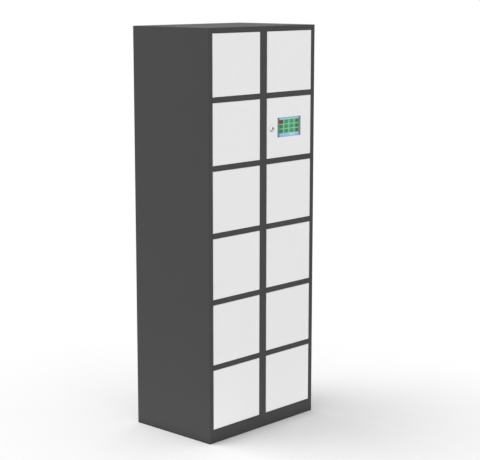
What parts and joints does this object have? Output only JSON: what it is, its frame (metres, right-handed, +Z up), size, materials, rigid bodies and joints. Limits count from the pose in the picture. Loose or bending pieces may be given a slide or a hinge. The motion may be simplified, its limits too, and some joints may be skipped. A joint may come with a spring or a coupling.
{
  "type": "smart locker",
  "caption": "Free-standing metal parcel locker with two columns of hinged doors, rotary latches, and a controller door with a touch screen and a cam lock.",
  "frame": {"origin": "on the floor, in the middle of the cabinet's footprint", "axes": "+Z up, the doors face -Y, +X to the right as seen from the front"},
  "size_m": [0.684, 0.4685, 1.802],
  "materials": {
    "cabinet_paint": "satin powder coat",
    "door_paint": "satin powder coat",
    "zinc": "zinc plated",
    "chrome": "polished",
    "rubber": "matt",
    "screen": "lit screen",
    "black_plastic": "matt",
    "board": "satin"
  },
  "bodies": {
    "cabinet": {"left_side_panel": "cabinet_paint", "right_side_panel": "cabinet_paint", "back_panel": "cabinet_paint", "top_panel": "cabinet_paint", "base_pan": "cabinet_paint", "centre_post": "cabinet_paint", "partition_wall_left": "cabinet_paint", "partition_wall_right": "cabinet_paint", "shelf_pair_1": "cabinet_paint", "shelf_pair_2": "cabinet_paint", "shelf_pair_3": "cabinet_paint", "shelf_pair_4": "cabinet_paint", "shelf_pair_5": "cabinet_paint", "latch_cases": "zinc", "latch_screws": "zinc", "door_buffers": "rubber", "control_board": "board", "power_supply": "zinc", "cable_grommet": "rubber"},
    "door_left_1": {"door_left_1": "door_paint", "door_left_1_fittings": "zinc"},
    "latch_hook_left_1": {"latch_hook_left_1": "zinc"},
    "door_left_2": {"door_left_2": "door_paint", "door_left_2_fittings": "zinc"},
    "latch_hook_left_2": {"latch_hook_left_2": "zinc"},
    "door_left_3": {"door_left_3": "door_paint", "door_left_3_fittings": "zinc"},
    "latch_hook_left_3": {"latch_hook_left_3": "zinc"},
    "door_left_4": {"door_left_4": "door_paint", "door_left_4_fittings": "zinc"},
    "latch_hook_left_4": {"latch_hook_left_4": "zinc"},
    "door_left_5": {"door_left_5": "door_paint", "door_left_5_fittings": "zinc"},
    "latch_hook_left_5": {"latch_hook_left_5": "zinc"},
    "door_left_6": {"door_left_6": "door_paint", "door_left_6_fittings": "zinc"},
    "latch_hook_left_6": {"latch_hook_left_6": "zinc"},
    "door_right_1": {"door_right_1": "door_paint", "door_right_1_fittings": "zinc"},
    "latch_hook_right_1": {"latch_hook_right_1": "zinc"},
    "controller_door": {"controller_door": "door_paint", "controller_door_fittings": "zinc", "display_glass": "screen", "display_module": "black_plastic", "lock_housing": "chrome", "lock_nut": "zinc"},
    "lock_plug": {"lock_plug": "chrome", "lock_cam": "zinc"},
    "door_right_3": {"door_right_3": "door_paint", "door_right_3_fittings": "zinc"},
    "latch_hook_right_3": {"latch_hook_right_3": "zinc"},
    "door_right_4": {"door_right_4": "door_paint", "door_right_4_fittings": "zinc"},
    "latch_hook_right_4": {"latch_hook_right_4": "zinc"},
    "door_right_5": {"door_right_5": "door_paint", "door_right_5_fittings": "zinc"},
    "latch_hook_right_5": {"latch_hook_right_5": "zinc"},
    "door_right_6": {"door_right_6": "door_paint", "door_right_6_fittings": "zinc"},
    "latch_hook_right_6": {"latch_hook_right_6": "zinc"}
  },
  "joints": [
    {"name": "door_left_1_hinge", "type": "hinge", "parent": "cabinet", "child": "door_left_1", "pos_m": [-0.3075, -0.2245, 1.64562], "axis": [0, 0, -1], "range_deg": [0, 110]},
    {"name": "latch_hook_left_1_turn", "type": "hinge", "parent": "cabinet", "child": "latch_hook_left_1", "pos_m": [-0.02785, -0.175, 1.63363], "axis": [-1, 0, 0], "range_deg": [0, 20]},
    {"name": "door_left_2_hinge", "type": "hinge", "parent": "cabinet", "child": "door_left_2", "pos_m": [-0.3075, -0.2245, 1.35537], "axis": [0, 0, -1], "range_deg": [0, 110]},
    {"name": "latch_hook_left_2_turn", "type": "hinge", "parent": "cabinet", "child": "latch_hook_left_2", "pos_m": [-0.02785, -0.175, 1.34337], "axis": [-1, 0, 0], "range_deg": [0, 20]},
    {"name": "door_left_3_hinge", "type": "hinge", "parent": "cabinet", "child": "door_left_3", "pos_m": [-0.3075, -0.2245, 1.06513], "axis": [0, 0, -1], "range_deg": [0, 110]},
    {"name": "latch_hook_left_3_turn", "type": "hinge", "parent": "cabinet", "child": "latch_hook_left_3", "pos_m": [-0.02785, -0.175, 1.05313], "axis": [-1, 0, 0], "range_deg": [0, 20]},
    {"name": "door_left_4_hinge", "type": "hinge", "parent": "cabinet", "child": "door_left_4", "pos_m": [-0.3075, -0.2245, 0.77487], "axis": [0, 0, -1], "range_deg": [0, 110]},
    {"name": "latch_hook_left_4_turn", "type": "hinge", "parent": "cabinet", "child": "latch_hook_left_4", "pos_m": [-0.02785, -0.175, 0.76287], "axis": [-1, 0, 0], "range_deg": [0, 20]},
    {"name": "door_left_5_hinge", "type": "hinge", "parent": "cabinet", "child": "door_left_5", "pos_m": [-0.3075, -0.2245, 0.48462], "axis": [0, 0, -1], "range_deg": [0, 110]},
    {"name": "latch_hook_left_5_turn", "type": "hinge", "parent": "cabinet", "child": "latch_hook_left_5", "pos_m": [-0.02785, -0.175, 0.47263], "axis": [-1, 0, 0], "range_deg": [0, 20]},
    {"name": "door_left_6_hinge", "type": "hinge", "parent": "cabinet", "child": "door_left_6", "pos_m": [-0.3075, -0.2245, 0.19437], "axis": [0, 0, -1], "range_deg": [0, 110]},
    {"name": "latch_hook_left_6_turn", "type": "hinge", "parent": "cabinet", "child": "latch_hook_left_6", "pos_m": [-0.02785, -0.175, 0.18238], "axis": [-1, 0, 0], "range_deg": [0, 20]},
    {"name": "door_right_1_hinge", "type": "hinge", "parent": "cabinet", "child": "door_right_1", "pos_m": [0.3075, -0.2245, 1.64562], "axis": [0, 0, 1], "range_deg": [0, 110]},
    {"name": "latch_hook_right_1_turn", "type": "hinge", "parent": "cabinet", "child": "latch_hook_right_1", "pos_m": [0.02785, -0.175, 1.63363], "axis": [-1, 0, 0], "range_deg": [0, 20]},
    {"name": "controller_door_hinge", "type": "hinge", "parent": "cabinet", "child": "controller_door", "pos_m": [0.3075, -0.2245, 1.35537], "axis": [0, 0, 1], "range_deg": [0, 110]},
    {"name": "lock_turn", "type": "hinge", "parent": "controller_door", "child": "lock_plug", "pos_m": [0.05355, -0.22, 1.35537], "axis": [0, 1, 0], "range_deg": [0, 90]},
    {"name": "door_right_3_hinge", "type": "hinge", "parent": "cabinet", "child": "door_right_3", "pos_m": [0.3075, -0.2245, 1.06513], "axis": [0, 0, 1], "range_deg": [0, 110]},
    {"name": "latch_hook_right_3_turn", "type": "hinge", "parent": "cabinet", "child": "latch_hook_right_3", "pos_m": [0.02785, -0.175, 1.05313], "axis": [-1, 0, 0], "range_deg": [0, 20]},
    {"name": "door_right_4_hinge", "type": "hinge", "parent": "cabinet", "child": "door_right_4", "pos_m": [0.3075, -0.2245, 0.77487], "axis": [0, 0, 1], "range_deg": [0, 110]},
    {"name": "latch_hook_right_4_turn", "type": "hinge", "parent": "cabinet", "child": "latch_hook_right_4", "pos_m": [0.02785, -0.175, 0.76287], "axis": [-1, 0, 0], "range_deg": [0, 20]},
    {"name": "door_right_5_hinge", "type": "hinge", "parent": "cabinet", "child": "door_right_5", "pos_m": [0.3075, -0.2245, 0.48462], "axis": [0, 0, 1], "range_deg": [0, 110]},
    {"name": "latch_hook_right_5_turn", "type": "hinge", "parent": "cabinet", "child": "latch_hook_right_5", "pos_m": [0.02785, -0.175, 0.47263], "axis": [-1, 0, 0], "range_deg": [0, 20]},
    {"name": "door_right_6_hinge", "type": "hinge", "parent": "cabinet", "child": "door_right_6", "pos_m": [0.3075, -0.2245, 0.19437], "axis": [0, 0, 1], "range_deg": [0, 110]},
    {"name": "latch_hook_right_6_turn", "type": "hinge", "parent": "cabinet", "child": "latch_hook_right_6", "pos_m": [0.02785, -0.175, 0.18238], "axis": [-1, 0, 0], "range_deg": [0, 20]}
  ]
}
